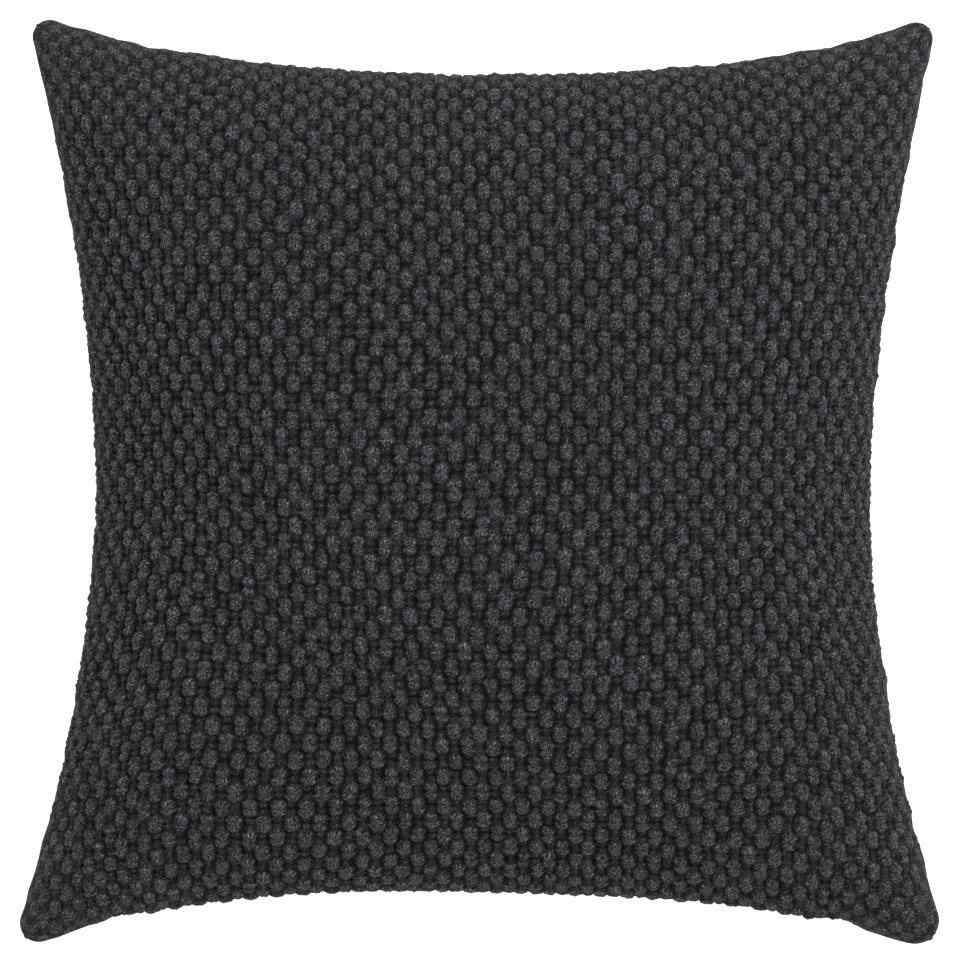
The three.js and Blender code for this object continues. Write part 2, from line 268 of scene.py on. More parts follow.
def surface(u, v, side):
    """The dome of one face, side 1 for the front and -1 for the back."""
    x, y = plan(u, v)
    crown = np.clip((1 - np.abs(u) ** CROWN_POWER) * (1 - np.abs(v) ** CROWN_POWER), 0, 1)
    return np.stack([x, y, SEAM_Z + side * START_SHARE * RISE * crown ** CROWN_SHAPE], axis=-1)


def even_out(u, v, side):
    """Slides the points along each row until they are evenly spaced over the surface."""
    steps = np.linalg.norm(np.diff(surface(u, v, side), axis=1), axis=2)
    target = np.linspace(0, 1, NET + 1)
    for row in range(NET + 1):
        run = np.concatenate([[0], np.cumsum(steps[row])])
        run /= run[-1]
        u[row] = np.interp(target, run, u[row])
        v[row] = np.interp(target, run, v[row])
    return u, v


def even_net(side):
    """A grid of points on one face whose rows and columns are even along their own lengths, as
    the yarns of a cloth are."""
    line = np.sin(np.linspace(-1, 1, NET + 1) * math.pi / 2)
    u, v = np.meshgrid(line, line)
    for _ in range(EVENING_ROUNDS):
        u, v = even_out(u, v, side)
        u, v = (grid.T.copy() for grid in even_out(u.T.copy(), v.T.copy(), side))
    return surface(u, v, side)


# ---- faces over grids of points -----------------------------------------------------------------
def grid_index(rows, columns):
    """Numbers the points of a grid that has so many rows and columns of cells."""
    return np.arange((rows + 1) * (columns + 1)).reshape(rows + 1, columns + 1)


def grid_quads(index):
    quads = np.stack([index[:-1, :-1], index[:-1, 1:], index[1:, 1:], index[1:, :-1]], axis=-1)
    return quads.reshape(-1, 4)


def band_quads(first, second):
    """A band of quads between two closed rings of points."""
    return np.stack([first, second, np.roll(second, -1), np.roll(first, -1)], axis=-1)


def edge_walk(rows, columns):
    """Grid indices once round the edge of a grid, anticlockwise from the bottom left."""
    bottom = [(0, j) for j in range(columns)]
    right = [(i, columns) for i in range(rows)]
    top = [(rows, j) for j in range(columns, 0, -1)]
    left = [(i, 0) for i in range(rows, 0, -1)]
    return np.array(bottom + right + top + left)


def new_object(name, points, faces, material):
    mesh = bpy.data.meshes.new(name)
    mesh.from_pydata(points.tolist(), [], faces)
    mesh.validate()
    mesh.polygons.foreach_set("use_smooth", [True] * len(mesh.polygons))
    mesh.materials.append(material)
    piece = bpy.data.objects.new(name, mesh)
    bpy.context.scene.collection.objects.link(piece)
    return piece


def closed_body(name, upper, lower, material):
    """Joins two grids, one over the other, round their edges."""
    rows, columns = upper.shape[0] - 1, upper.shape[1] - 1
    index = grid_index(rows, columns)
    quads = grid_quads(index)
    walk = edge_walk(rows, columns)
    rim = index[walk[:, 0], walk[:, 1]]
    faces = np.concatenate([quads, quads[:, ::-1] + index.size, band_quads(rim, rim + index.size)])
    points = np.concatenate([upper.reshape(-1, 3), lower.reshape(-1, 3)])
    piece = new_object(name, points, faces.tolist(), material)
    shell = bmesh.new()
    shell.from_mesh(piece.data)
    bmesh.ops.recalc_face_normals(shell, faces=shell.faces)
    shell.to_mesh(piece.data)
    shell.free()
    return piece


# ---- cloth simulation ------------------------------------------------------------------------
def cushion_form(front, back):
    """The two nets as one closed cushion with its seam in a vertex group, its points, and the
    number of each net's points in it."""
    rim = np.ones((NET + 1, NET + 1), bool)
    rim[1:-1, 1:-1] = False
    index_front = grid_index(NET, NET)
    index_back = index_front.copy()
    index_back[~rim] = index_front.size + np.arange((~rim).sum())
    points = np.concatenate([front.reshape(-1, 3), back[~rim]])
    faces = np.concatenate([grid_quads(index_front), grid_quads(index_back)[:, ::-1]])
    mesh = bpy.data.meshes.new("cushion_form")
    mesh.from_pydata(points.tolist(), [], faces.tolist())
    form = bpy.data.objects.new("cushion_form", mesh)
    bpy.context.scene.collection.objects.link(form)
    seam = form.vertex_groups.new(name="seam")
    seam.add(index_front[rim].tolist(), 1.0, "REPLACE")
    return form, points, index_front, index_back


def inflate(front, back):
    """Swells the closed cover from the two nets by a cloth simulation, its seam pinned."""
    form, points, index_front, index_back = cushion_form(front, back)
    modifier = form.modifiers.new("swell", "CLOTH")
    for setting, value in SWELL.items():
        setattr(modifier.settings, setting, value)
    modifier.settings.vertex_group_mass = "seam"
    modifier.settings.effector_weights.gravity = 0
    modifier.collision_settings.use_collision = False
    scene = bpy.context.scene
    for step in range(1, SWELL_STEPS + 1):
        scene.frame_set(step)
    swollen = form.evaluated_get(bpy.context.evaluated_depsgraph_get())
    result = np.empty(len(points) * 3)
    swollen.data.vertices.foreach_get("co", result)
    result = result.reshape(-1, 3)
    scene.frame_set(1)
    bpy.data.objects.remove(form)
    move = result - points
    length = np.linalg.norm(move, axis=1, keepdims=True)
    result = points + move * np.minimum(1, MOST_SWELL / np.maximum(length, TINY))
    return result[index_front], result[index_back]


def fit_height(net):
    """Scales a face's height so that its nubs reach in the middle what the frame says."""
    fitted = net.copy()
    height = net[..., 2] - SEAM_Z
    fitted[..., 2] = SEAM_Z + height * (RISE - NUB_STAND) / np.abs(height).max()
    return fitted


def settle(net):
    """Flattens the back where the pillow's weight rests on it."""
    floor = 1.2 * MM
    softness = 2.5 * MM
    resting = net.copy()
    resting[..., 2] = floor + softness * np.logaddexp(0, (net[..., 2] - floor) / softness)
    return resting


# ---- fine grids over a net ----------------------------------------------------------------------
def cubic_weights(places, count):
    """Catmull-Rom weights that read a line of count + 1 points at places from 0 to 1. Past
    either end the line goes on straight."""
    weights = np.zeros((len(places), count + 1))
    for row, place in enumerate(places * count):
        k = min(int(place), count - 1)
        t = place - k
        factors = (
            -0.5 * t + t * t - 0.5 * t ** 3,
            1 - 2.5 * t * t + 1.5 * t ** 3,
            0.5 * t + 2 * t * t - 1.5 * t ** 3,
            -0.5 * t * t + 0.5 * t ** 3,
        )
        for offset, factor in zip((-1, 0, 1, 2), factors):
            at = k + offset
            if at < 0:
                weights[row, 0] += 2 * factor
                weights[row, 1] -= factor
            elif at > count:
                weights[row, count] += 2 * factor
                weights[row, count - 1] -= factor
            else:
                weights[row, at] += factor
    return weights


def refine(net, across, up):
    """Reads a net at every pair of places across and up, each from 0 to 1."""
    columns = cubic_weights(across, net.shape[1] - 1)
    rows = cubic_weights(up, net.shape[0] - 1)
    return np.einsum("ri,ijk,cj->rck", rows, net, columns, optimize=True)


def sample(grid, rows, columns):
    """Reads a grid at fractional indices."""
    i = np.clip(rows.astype(int), 0, grid.shape[0] - 2)
    j = np.clip(columns.astype(int), 0, grid.shape[1] - 2)
    f = (rows - i)[:, None]
    g = (columns - j)[:, None]
    low = grid[i, j] * (1 - g) + grid[i, j + 1] * g
    high = grid[i + 1, j] * (1 - g) + grid[i + 1, j + 1] * g
    return low * (1 - f) + high * f


def grid_normals(points, side):
    along = np.gradient(points, axis=1)
    upward = np.gradient(points, axis=0)
    normal = np.cross(along, upward) * side
    return normal / np.maximum(np.linalg.norm(normal, axis=2, keepdims=True), TINY)


def from_edges(across, up):
    """Distance in the cloth to the nearest seam, in metres."""
    x, y = np.meshgrid(np.minimum(across, 1 - across), np.minimum(up, 1 - up))
    return np.minimum(x, y) * CLOTH_SIDE


# ---- the nubs --------------------------------------------------------------------------------------
def crossings(across, up):
    """The crossing of yarns that every point lies on, as fractional column and row."""
    x, y = np.meshgrid(2 * across - 1, 2 * up - 1)
    gather = CORNER_GATHER * np.abs(x) ** 3
    y = y * (1 - gather) + gather * y ** 7
    return (x + 1) / 2 * COLUMNS, (y + 1) / 2 * ROWS


def wander(along, beside, rng):
    """Yarns that drift a little to either side of their straight line."""
    drift = np.zeros_like(along)
    for _ in range(WANDER_WAVES):
        turn = rng.uniform(*WANDER_TURNS, 2)
        drift += np.sin(turn[0] * along + turn[1] * beside + rng.uniform(0, 2 * math.pi))
    return along + WANDER * drift


def uneven_yarns(rng):
    """How each crossing differs from the others: lengths in crossings, and shares about 1.
    There is one row and one column to spare on every side."""
    each = (ROWS + 2, COLUMNS + 2)
    each_lobe = (*each, 2)
    return {
        "sway_x": rng.normal(0, 0.035, each),
        "sway_y": rng.normal(0, 0.035, each),
        "plump": rng.normal(1, 0.05, each_lobe),
        "high": rng.normal(1, 0.03, each_lobe),
        "split": rng.normal(0.25, 0.03, each),
        "slip": rng.normal(0, 0.03, each_lobe),
        "tone": rng.normal(0, 1, each),
    }


def crossing_height(yarns, column, row, x, y, calm):
    """How high one crossing's two lobes stand at (x, y), and the place from its middle. Calm
    goes from 0 in the middle of the face to 1 at its corners."""
    at = (row + 1, column + 1)
    is_nub = (column + row) % 2 == 0
    size = {}
    for key in NUB:
        (nub, nub_calm), (knob, knob_calm) = NUB[key], KNOB[key]
        size[key] = np.where(is_nub, nub + nub_calm * calm, knob + knob_calm * calm)
    off_x = x - (column + 0.5 + yarns["sway_x"][at])
    off_y = y - (row + 0.5 + yarns["sway_y"][at])
    height = np.zeros_like(x)
    for lobe, sign in ((0, -1), (1, 1)):
        part = (*at, lobe)
        width = size["half_width"] * yarns["plump"][part]
        length = size["half_height"] * yarns["plump"][part]
        away = (((off_x - yarns["slip"][part]) / width) ** 2
                + ((off_y - sign * yarns["split"][at]) / length) ** 2)
        top = size["top"] * yarns["high"][part]
        height = np.maximum(height, top * np.clip(1 - away, 0, 1) ** DOME_POWER)
    return height, np.stack([off_x, off_y, yarns["tone"][at]], axis=-1)


def relief(across, up, calm, seed):
    """Height of the weave from 0 in the gaps to 1 on the nubs, and a place on each nub.

    The nubs stand on every other crossing, like the dark squares of a chessboard. Each is two
    picks of a soft yarn that float over a warp, so it is two lobes, one over the other. The
    same yarns show as two small knobs where they go under, in the gaps between, and there is
    a crease wherever two of these meet. The place is across and up from the nub's middle, in
    crossings, and a random number of the nub's own."""
    rng = np.random.default_rng(seed)
    yarns = uneven_yarns(rng)
    x, y = crossings(across, up)
    x, y = wander(x, y, rng), wander(y, x, rng)
    cell_x = np.clip(x.astype(int), 0, COLUMNS - 1)
    cell_y = np.clip(y.astype(int), 0, ROWS - 1)
    best = np.zeros_like(x)
    second = np.zeros_like(x)
    place = np.zeros((*x.shape, 3))
    for step_x in (-1, 0, 1):
        for step_y in (-1, 0, 1):
            height, own = crossing_height(yarns, cell_x + step_x, cell_y + step_y, x, y, calm)
            place = np.where((height > best)[..., None], own, place)
            second = np.maximum(second, np.minimum(best, height))
            best = np.maximum(best, height)
    # Where two lobes meet the height dips: a real crease in the cloth, and painted shade in its colour
    # through the nub_height map.
    crease = 1 - smooth(best - second, 0, CREASE_WIDTH)
    return best * (1 - CREASE_SHADE * crease), place


# ---- the smooth base of the cover ------------------------------------------------------------------
def puff(points, up):
    """The cloth bulges over the zipper's straight seam, out to the outline."""
    u = points[0, :, 0] / HALF_SIDE
    outline = NUB_STAND - edge_line(BOTTOM, u)
    run = up * CLOTH_SIDE
    bulge = smooth(run, 0, BULGE_FROM) * (1 - smooth(run, BULGE_TO, BULGE_END))
    counts = bulge > LEAST_BULGE
    room = (points[counts, :, 1] - outline) / bulge[counts, None]
    push = np.maximum(0, room.min(axis=0)) * (1 - past_zip(points[0, :, 0], *BULGE_PAST_ZIP))
    pushed = points.copy()
    pushed[..., 1] -= push * bulge[:, None]
    return pushed


def ripple(points, across, up):
    """The seam is drawn in by its stitches here and there, the same on both faces."""
    rng = np.random.default_rng(SEEDS["ripple"])
    x, y = np.meshgrid(across, up)
    rippled = points.copy()
    for axis, away, along in ((0, x, up[:, None]), (1, y, across[None, :])):
        for side, far in ((-1, away), (1, 1 - away)):
            wave = np.interp(along, np.linspace(0, 1, ROWS), rng.normal(0, RIPPLE, ROWS))
            wave = wave * (1 - smooth(far * CLOTH_SIDE, 0, RIPPLE_DEPTH))
            wave = wave * (1 - smooth(np.abs(2 * along - 1), *RIPPLE_ENDS))
            if axis == 1 and side < 0:
                wave = wave * past_zip(points[..., 0], *RIPPLE_PAST_ZIP)
            rippled[..., axis] += side * wave
    return rippled


def unit(vector):
    return vector / np.linalg.norm(vector)


def round_corners(points):
    """Rounds the tips of the cover in plan, as sewn and turned corners are."""
    rounded = points.copy()
    step = int(points.shape[0] * STRAIGHT_PART)
    for (row, column), radius in CORNERS.items():
        tip = points[row, column, :2]
        along_x = unit(points[row, column - step if column else step, :2] - tip)
        along_y = unit(points[row - step if row else step, column, :2] - tip)
        inward = unit(along_x + along_y)
        half_angle = math.acos(np.clip(along_x @ along_y, -1, 1)) / 2
        centre = tip + inward * radius / math.sin(half_angle)
        offset = points[..., :2] - centre
        reach = np.maximum(np.linalg.norm(offset, axis=-1), TINY)
        turn = np.arccos(np.clip(-(offset @ inward) / reach, -1, 1))
        past = np.maximum(0, math.pi / 2 - half_angle - turn)
        share = np.clip(reach * np.cos(past) / radius, 0, 1) ** 2
        shrink = np.minimum(1 - (1 - np.cos(past)) * share, radius / reach)
        rounded[..., :2] = np.where((past > 0)[..., None], centre + offset * shrink[..., None],
                                    rounded[..., :2])
    return rounded


# ---- woven panels ----------------------------------------------------------------------------------
def seam_gap(x, up):
    """Half the gap between the two faces' edges, wider along the zipper."""
    beside = 1 - past_zip(x, *GAP_PAST_ZIP)
    return SEAM_GAP + ZIP_GAP * beside * (up < 0.5)[:, None]


def cloth_lift(height, edge, calm, seed):
    """How far the cloth's face stands from the smooth base: less relief where a seam or a
    corner presses it, and none at the very edge."""
    fuzz = np.random.default_rng(seed).normal(0, YARN_FUZZ, height.shape)
    pressed = EDGE_PRESS * (1 - smooth(edge, *PRESS_WIDTHS))
    share = (height + pressed * (EDGE_LEVEL - height)) * (1 - CORNER_PRESS * calm)
    return (share * NUB_HEIGHT - NUB_SINK + fuzz) * smooth(edge, *EDGE_FADE)


def painted_shade_height(height, edge, calm):
    """The height that the painted shade goes by: no painted shade in the gaps at a seam, and fainter by a
    corner.
    """
    height = np.maximum(height, EDGE_COLOUR * (1 - smooth(edge, 0, EDGE_COLOUR_WIDTH)))
    return height + CORNER_COLOUR_SHARE * calm * (CORNER_COLOUR - height)


def inner_rings(base, normal, walk, rim, side):
    """Rings of points from the edge inwards: under the seam allowance, over the inside, and
    one point to end on."""
    rows = base.shape[0] - 1
    columns = base.shape[1] - 1
    middle = np.array([rows / 2, columns / 2])
    centre = base[rows // 2, columns // 2]
    inward = centre - rim
    inward[:, 2] = 0
    inward /= np.linalg.norm(inward, axis=1, keepdims=True)
    zipped = (walk[:, 0] == 0) & (np.abs(rim[:, 0]) < ZIP_HALF)
    hem = rim + inward * np.where(zipped, ZIP_HEM, HEM)[:, None]
    rings = [hem, hem + [0, 0, side * HEM_CLOTH]]
    for share in LINING_SHARES:
        at = middle + (walk - middle) * share
        point = sample(base, at[:, 0], at[:, 1])
        out = sample(normal, at[:, 0], at[:, 1])
        height = np.abs(point[:, 2] - SEAM_Z)
        rings.append(point - out * np.minimum(LINING, LINING_MOST * height)[:, None])
    rings.append((centre - normal[rows // 2, columns // 2] * LINING)[None, :])
    return rings


def panel_faces(index, walk, rings, side):
    """Quads over the outside and from ring to ring inside, and a fan of triangles to end on.
    The back's faces turn the other way."""
    sheets = [grid_quads(index)]
    previous = index[walk[:, 0], walk[:, 1]]
    start = index.size
    for _ in rings[:-1]:
        current = start + np.arange(len(walk))
        sheets.append(band_quads(previous, current))
        previous = current
        start += len(walk)
    fan = np.stack([previous, np.full(len(walk), start), np.roll(previous, -1)], axis=-1)
    order = slice(None, None, side)
    return np.concatenate(sheets)[:, order].tolist() + fan[:, order].tolist()


def add_flat_map(mesh, shape, rings):
    """A flat map of the cloth: its face over most of the square, its inside along the bottom."""
    margin = 0.002
    band = 0.05
    rows, columns = shape
    u, v = np.meshgrid(np.linspace(margin, 1 - margin, columns),
                       np.linspace(band + 0.01, 1 - margin, rows))
    places = [np.stack([u.ravel(), v.ravel()], axis=-1)]
    for k, ring in enumerate(rings, 1):
        run = np.linspace(margin, 1 - margin, len(ring))
        level = np.full(len(ring), band * (1 - k / len(rings)))
        places.append(np.stack([run, level], axis=-1))
    places = np.concatenate(places).astype(np.float32)
    corner = np.empty(len(mesh.loops), dtype=np.int32)
    mesh.loops.foreach_get("vertex_index", corner)
    mesh.uv_layers.new(name="OFBake").data.foreach_set("uv", places[corner].ravel())


def add_nub_maps(mesh, height, place):
    """For each point, the height that its painted shade goes by and its place on its nub; the inside has
    zeros.
    """
    inside = len(mesh.vertices) - height.size
    heights = np.concatenate([height.ravel(), np.zeros(inside)]).astype(np.float32)
    mesh.attributes.new("nub_height", "FLOAT", "POINT").data.foreach_set("value", heights)
    places = np.concatenate([place.ravel(), np.zeros(3 * inside)]).astype(np.float32)
    mesh.attributes.new("nub_place", "FLOAT_VECTOR", "POINT").data.foreach_set("vector", places)


def woven_panel(name, net, side, material, seed):
    """One face of the cover: nubs outside, a turned-in seam allowance, and a plain inside."""
    rows = ROWS * PER_ROW
    columns = COLUMNS * PER_COLUMN
    across = np.linspace(0, 1, columns + 1)
    up = np.linspace(0, 1, rows + 1)
    base = round_corners(ripple(puff(refine(net, across, up), up), across, up))
    normal = grid_normals(base, side)
    edge = from_edges(across, up)
    calm_x, calm_y = np.meshgrid(np.abs(2 * across - 1), np.abs(2 * up - 1))
    calm = (calm_x * calm_y) ** CORNER_POWER
    height, place = relief(across, up, calm, seed)
    outer = base + normal * cloth_lift(height, edge, calm, seed + FUZZ_SEED)[..., None]
    outer[..., 2] += side * seam_gap(base[..., 0], up) * (1 - smooth(edge, 0, GAP_DEPTH))
    if side < 0:
        outer[..., 2] = np.maximum(outer[..., 2], FLOOR_GAP)
    walk = edge_walk(rows, columns)
    rings = inner_rings(base, normal, walk, outer[walk[:, 0], walk[:, 1]], side)
    index = grid_index(rows, columns)
    points = np.concatenate([outer.reshape(-1, 3), *rings])
    piece = new_object(name, points, panel_faces(index, walk, rings, side), material)
    add_flat_map(piece.data, index.shape, rings)
    add_nub_maps(piece.data, painted_shade_height(height, edge, calm), place)
    return piece


# ---- the insert and its fibre -----------------------------------------------------------------------
def inner_grid(net, side, inset, sink, rim, seed, wrinkle):
    """The surface of something that lies inside the cover, closing to its own knife edge."""
    places = np.linspace(inset, 1 - inset, INNER_STEPS + 1)
    points = refine(net, places, places)
    points = points - grid_normals(points, side) * sink
    run = np.linspace(0, 1, INNER_STEPS + 1)
    swell = np.sqrt(1 - (1 - np.clip(from_edges(run, run) / INSERT_SHOULDER, 0, 1)) ** 2)
    rng = np.random.default_rng(seed)
    x, y = np.meshgrid(run, run)
    folds = np.zeros_like(x)
    for _ in range(FOLDS):
        wave = rng.normal(0, FOLD_TURNS, 2)
        folds += np.sin(wave[0] * x + wave[1] * y + rng.uniform(0, 2 * math.pi)) / FOLDS
    height = np.maximum(0, side * (points[..., 2] - SEAM_Z)) * swell
    height += (folds - 1) * wrinkle * swell
    points[..., 2] = SEAM_Z + side * (rim + np.maximum(0, height))
    return points


def insert_panel(name, net, side, material):
    """One side of the insert's shell, thinner where it comes to the knife edge."""
    outer = inner_grid(net, side, INSERT_INSET, LINING + INSERT_CLEARANCE, INSERT_RIM,
                       SEEDS["insert"], INSERT_WRINKLE)
    run = np.linspace(0, 1, outer.shape[0])
    depth = INSERT_CLOTH * smooth(from_edges(run, run), 0, INSERT_THINNING)
    inner = outer - grid_normals(outer, side) * depth[..., None]
    inner[..., 2] -= side * (INSERT_CLOTH - depth) * 0.6
    pair = (outer, inner) if side > 0 else (inner, outer)
    return closed_body(name, *pair, material)


def fibre_lump(name, front, back, material):
    sink = LINING + INSERT_CLEARANCE + INSERT_CLOTH + FILL_CLEARANCE
    upper = inner_grid(front, 1, FILL_INSET, sink, FILL_RIM, SEEDS["fibre_top"], FILL_WRINKLE)
    lower = inner_grid(back, -1, FILL_INSET, sink, FILL_RIM, SEEDS["fibre_bottom"], FILL_WRINKLE)
    return closed_body(name, upper, lower, material)


# ---- zipper -------------------------------------------------------------------------------------------
def tube(path, radius, sides):
    """Points and faces of a round cord along a path."""
    ahead = np.gradient(path, axis=0)
    ahead /= np.linalg.norm(ahead, axis=1, keepdims=True)
    guide = np.where(np.abs(ahead[:, 2:3]) > 0.9, [[1.0, 0, 0]], [[0, 0, 1.0]])
    across = np.cross(guide, ahead)
    across /= np.linalg.norm(across, axis=1, keepdims=True)
    upward = np.cross(ahead, across)
    turn = np.arange(sides) * 2 * math.pi / sides
    ring = (across[:, None] * np.cos(turn)[None, :, None]
            + upward[:, None] * np.sin(turn)[None, :, None])
    points = path[:, None] + ring * radius
    index = np.arange(len(path) * sides).reshape(len(path), sides)
    around = np.roll(index, -1, axis=1)
    quads = np.stack([index[:-1], around[:-1], around[1:], index[1:]], axis=-1).reshape(-1, 4)
    faces = quads.tolist() + [index[0, ::-1].tolist(), index[-1].tolist()]
    return points.reshape(-1, 3), faces


def cord_object(name, paths, radius, material, sides):
    """One object of round cords, one along each path."""
    points = []
    faces = []
    start = 0
    for path in paths:
        more, sheet = tube(path, radius, sides)
        points.append(more)
        faces += [[k + start for k in face] for face in sheet]
        start += len(more)
    return new_object(name, np.concatenate(points), faces, material)


def coil_teeth(name, node, material):
    """The zipper's nylon coil: one filament wound along the tape's edge."""
    low, high = (np.array(corner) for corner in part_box(node))
    pitch = 1.25 * MM
    wire = 0.24 * MM
    per_turn = 14
    middle = (low + high) / 2
    reach = (high - low) / 2 - wire
    turns = (high[0] - low[0] - 2 * wire) / pitch
    angle = np.linspace(0, 2 * math.pi * turns, int(turns * per_turn))
    path = np.stack([
        low[0] + wire + angle / (2 * math.pi) * pitch,
        middle[1] + reach[1] * np.cos(angle),
        middle[2] + reach[2] * np.sin(angle),
    ], axis=-1)
    return cord_object(name, [path], wire, material, sides=6)


def zipper_tape(name, node, side, material):
    """A strip of herringbone tape that stands up behind one row of teeth."""
    low, high = (np.array(corner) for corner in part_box(node))
    cloth = 0.45 * MM
    rib_height = 0.05 * MM
    rib_pitch = 1.5 * MM
    chevrons = 6
    columns = 420
    rows = 25
    x, f = np.meshgrid(np.linspace(low[0], high[0], columns), np.linspace(0, 1, rows))
    near = low[1] + (high[1] - low[1] - cloth) * f
    start, end = (low[2], high[2]) if side > 0 else (high[2], low[2])
    slant = np.abs(f * chevrons % 2 - 1)
    rib = rib_height * np.sin(2 * math.pi * (x / rib_pitch + slant))
    front = np.stack([x, near + rib, start + (end - start) * f], axis=-1)
    return closed_body(name, front, front + [0, cloth, 0], material)


# ---- stitching and labels -------------------------------------------------------------------------------
def inset_line(u, v, inset):
    """A line in the seam plane at a distance inside the outline."""
    x, y = plan(u, v)
    flat = np.stack([x, y], axis=-1)
    ahead = np.gradient(flat, axis=0)
    ahead /= np.linalg.norm(ahead, axis=1, keepdims=True)
    inward = np.stack([-ahead[:, 1], ahead[:, 0]], axis=-1)
    flip = np.where((inward * flat).sum(axis=1) > 0, -1, 1)[:, None]
    return np.concatenate([flat + inward * flip * inset, np.full((len(u), 1), SEAM_Z)], axis=1)


def side_line(which, start, end, inset):
    """A line along part of one side, whose middle is 0 and whose corners are -1 and 1."""
    steps = 160
    run = np.linspace(start, end, steps)
    edge = np.ones(steps)
    u, v = {
        "top": (run, edge),
        "bottom": (run, -edge),
        "left": (-edge, run),
        "right": (edge, run),
    }[which]
    return inset_line(u, v, inset)


def twisted(line):
    """The two plies of a thread that runs along a line."""
    per_twist = 8
    step = np.linalg.norm(np.diff(line, axis=0), axis=1)
    run = np.concatenate([[0], np.cumsum(step)])
    even = np.arange(0, run[-1], THREAD_TWIST / per_twist)
    fine = np.stack([np.interp(even, run, line[:, k]) for k in range(3)], axis=-1)
    ahead = np.gradient(fine, axis=0)
    ahead /= np.linalg.norm(ahead, axis=1, keepdims=True)
    across = np.stack([-ahead[:, 1], ahead[:, 0], np.zeros(len(fine))], axis=-1)
    plies = []
    for phase in (0, math.pi):
        angle = 2 * math.pi * even / THREAD_TWIST + phase
        offset = across * np.cos(angle)[:, None] + np.array([0, 0, 1]) * np.sin(angle)[:, None]
        plies.append(fine + offset * THREAD / 2)
    return plies


def thread_object(name, lines, material):
    plies = [ply for line in lines for ply in twisted(line)]
    return cord_object(name, plies, THREAD / 2, material, sides=5)


def sewn_label(name, net, side, reach, half_width, sink, material):
    """A folded satin label, caught in a seam of one side and lying inside along the cloth. It
    runs between two distances from that seam."""
    columns = 30
    rows = 24
    run = np.linspace(*reach, columns) / CLOTH_SIDE
    across = np.sort(run if side < 0 else 1 - run)
    up = 0.5 + np.linspace(-half_width, half_width, rows) / CLOTH_SIDE
    points = refine(net, across, up)
    normal = grid_normals(points, 1)
    return closed_body(name, points - normal * sink, points - normal * (sink + LABEL_CLOTH), material)


# ---- materials -------------------------------------------------------------------------------------
class Nodes:
    """A material's node tree, with short calls to add and join nodes."""

    def __init__(self, name, roughness):
        self.material = bpy.data.materials.new(name)
        self.material.use_nodes = True
        self.tree = self.material.node_tree
        self.shader = self.tree.nodes["Principled BSDF"]
        self.shader.inputs["Roughness"].default_value = roughness

    def add(self, kind, **settings):
        node = self.tree.nodes.new(kind)
        for key, value in settings.items():
            if key in node.inputs:
                node.inputs[key].default_value = value
            else:
                setattr(node, key, value)
        return node

    def join(self, output, socket):
        self.tree.links.new(output, socket)

    def math(self, operation, first, second):
        node = self.add("ShaderNodeMath", operation=operation)
        for socket, value in zip(node.inputs, (first, second)):
            if isinstance(value, (int, float)):
                socket.default_value = value
            else:
                self.join(value, socket)
        return node.outputs[0]

    def noise(self, scale, detail=3.0, roughness=0.5, stretch=None, turn=0.0):
        """Noise over the object's own space, stretched along its axes and turned about Z."""
        node = self.add("ShaderNodeTexNoise", Scale=scale, Detail=detail, Roughness=roughness)
        place = self.add("ShaderNodeTexCoord").outputs["Object"]
        if stretch is not None:
            squeeze = self.add("ShaderNodeMapping", vector_type="TEXTURE")
            squeeze.inputs["Scale"].default_value = [1 / share for share in stretch]
            squeeze.inputs["Rotation"].default_value = (0, 0, turn)
            self.join(place, squeeze.inputs["Vector"])
            place = squeeze.outputs["Vector"]
        self.join(place, node.inputs["Vector"])
        return node.outputs["Fac"]

    def ramp(self, value, stops):
        node = self.add("ShaderNodeValToRGB")
        ramp = node.color_ramp
        while len(ramp.elements) < len(stops):
            ramp.elements.new(0.5)
        for element, (place, color) in zip(ramp.elements, stops):
            element.position = place
            element.color = (*color, 1)
        self.join(value, node.inputs["Fac"])
        return node.outputs["Color"]

    def bump(self, value, distance, strength=1.0):
        node = self.add("ShaderNodeBump", Strength=strength, Distance=distance)
        self.join(value, node.inputs["Height"])
        self.join(node.outputs["Normal"], self.shader.inputs["Normal"])

    def attribute(self, name, output="Fac"):
        return self.add("ShaderNodeAttribute", attribute_name=name).outputs[output]

    def spokes(self, place, around, outwards):
        """Fine noise in strands that run out from the middle of every nub."""
        parts = self.add("ShaderNodeSeparateXYZ")
        self.join(place, parts.inputs[0])
        x, y, own = parts.outputs
        square = self.math("ADD", self.math("MULTIPLY", x, x), self.math("MULTIPLY", y, y))
        reach = self.math("SQRT", self.math("ADD", square, 0.004), 0)
        turned = self.add("ShaderNodeCombineXYZ")
        for k, side in enumerate((x, y)):
            bearing = self.math("DIVIDE", side, reach)
            self.join(self.math("MULTIPLY", bearing, around), turned.inputs[k])
        outward = self.math("MULTIPLY", reach, outwards)
        self.join(self.math("ADD", outward, self.math("MULTIPLY", own, 9)), turned.inputs[2])
        node = self.add("ShaderNodeTexNoise", Scale=1.0, Detail=2.0, Roughness=0.6)
        self.join(turned.outputs[0], node.inputs["Vector"])
        return node.outputs["Fac"]

    def multiply(self, first, second):
        """One colour times another."""
        node = self.add("ShaderNodeMix", data_type="RGBA", blend_type="MULTIPLY")
        node.inputs["Factor"].default_value = 1.0
        self.join(first, node.inputs[6])
        self.join(second, node.inputs[7])
        return node.outputs[2]


def grey(level):
    return (level, level, level)


